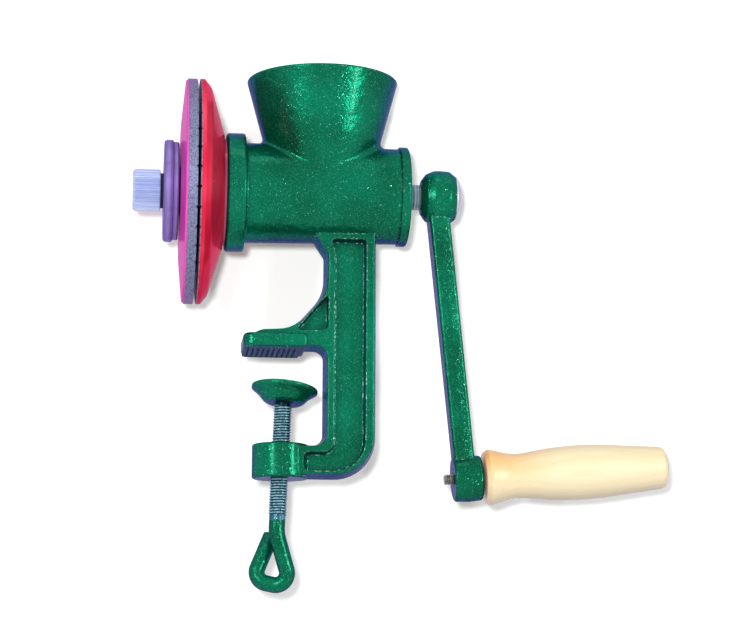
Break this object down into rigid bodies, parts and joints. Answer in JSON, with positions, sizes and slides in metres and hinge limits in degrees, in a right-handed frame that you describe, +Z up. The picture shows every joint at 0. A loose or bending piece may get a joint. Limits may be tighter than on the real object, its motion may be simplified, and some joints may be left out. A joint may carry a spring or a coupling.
{
  "type": "hand grinder",
  "caption": "Hand crank peanut grinder: a cast body with a hopper, grinding discs, an adjusting knob, a table clamp and a crank with a wooden grip.",
  "frame": {"origin": "the point of the upper jaw's clamping face that the clamp screw's axis meets", "axes": "+Z up, +X along the shaft towards the crank, +Y away from the side that the picture shows"},
  "size_m": [0.2971, 0.124, 0.2833],
  "materials": {
    "green_paint": "gloss paint with fine metal flecks",
    "red_paint": "gloss paint",
    "pink_paint": "gloss paint, rim left bare",
    "bare_iron": "turned, bare",
    "knurled_steel": "plated, straight knurl",
    "fibre": "matt fibre",
    "shaft_steel": "turned",
    "hardened_steel": "ground",
    "zinc_steel": "zinc plated",
    "bright_steel": "polished",
    "bronze": "sintered bronze",
    "clamp_steel": "dark threads, painted eye",
    "varnished_wood": "clear varnish"
  },
  "bodies": {
    "frame": {"grinder_body": "green_paint", "shaft_bush": "bronze", "thrust_washers": "hardened_steel", "rear_cover": "green_paint", "rear_cover_screws": "zinc_steel", "fixed_disc": "red_paint", "fixed_disc_screws": "zinc_steel"},
    "shaft": {"auger_shaft": "shaft_steel", "disc_key": "shaft_steel", "thrust_collar": "shaft_steel", "collar_pin": "shaft_steel", "crank_arm": "green_paint", "crank_screw": "bright_steel", "handle_washers": "zinc_steel", "handle_bolt": "zinc_steel"},
    "handle": {"handle_grip": "varnished_wood"},
    "disc": {"moving_disc": "pink_paint", "backing_plate": "bare_iron", "pressure_ring": "bare_iron", "knob_washer": "fibre"},
    "knob": {"adjusting_knob": "knurled_steel"},
    "seat": {"pad_washer": "hardened_steel"},
    "screw": {"clamp_screw": "clamp_steel"},
    "pad": {"clamp_pad": "green_paint"}
  },
  "joints": [
    {"name": "crank_turn", "type": "hinge", "parent": "frame", "child": "shaft", "pos_m": [0, 0, 0.0889], "axis": [1, 0, 0], "continuous": true},
    {"name": "handle_spin", "type": "hinge", "parent": "shaft", "child": "handle", "pos_m": [0.09209, 0, -0.0679], "axis": [0.9974, 0, 0.0715], "continuous": true},
    {"name": "disc_slide", "type": "slide", "parent": "shaft", "child": "disc", "axis": [1, 0, 0], "range_m": [-0.003, 0.0012]},
    {"name": "knob_turn", "type": "hinge", "parent": "disc", "child": "knob", "pos_m": [-0.075, 0, 0.0889], "axis": [1, 0, 0], "range_deg": [-618, 248]},
    {"name": "pad_travel", "type": "slide", "parent": "frame", "child": "seat", "axis": [0.0401, 0, 0.9992], "range_m": [-0.0181, 0.0141]},
    {"name": "clamp_turn", "type": "hinge", "parent": "seat", "child": "screw", "pos_m": [0, 0, 0], "axis": [0.0401, 0, 0.9992], "range_deg": [-4344, 3384]},
    {"name": "pad_tilt", "type": "hinge", "parent": "seat", "child": "pad", "pos_m": [-0.00108, 0, -0.02688], "axis": [1, 0, 0], "range_deg": [-3, 14]}
  ],
  "couplings": [
    {"joint": "knob_turn", "follows": "disc_slide", "rad_per_m": 3590.4},
    {"joint": "clamp_turn", "follows": "pad_travel", "rad_per_m": 4188.8}
  ]
}
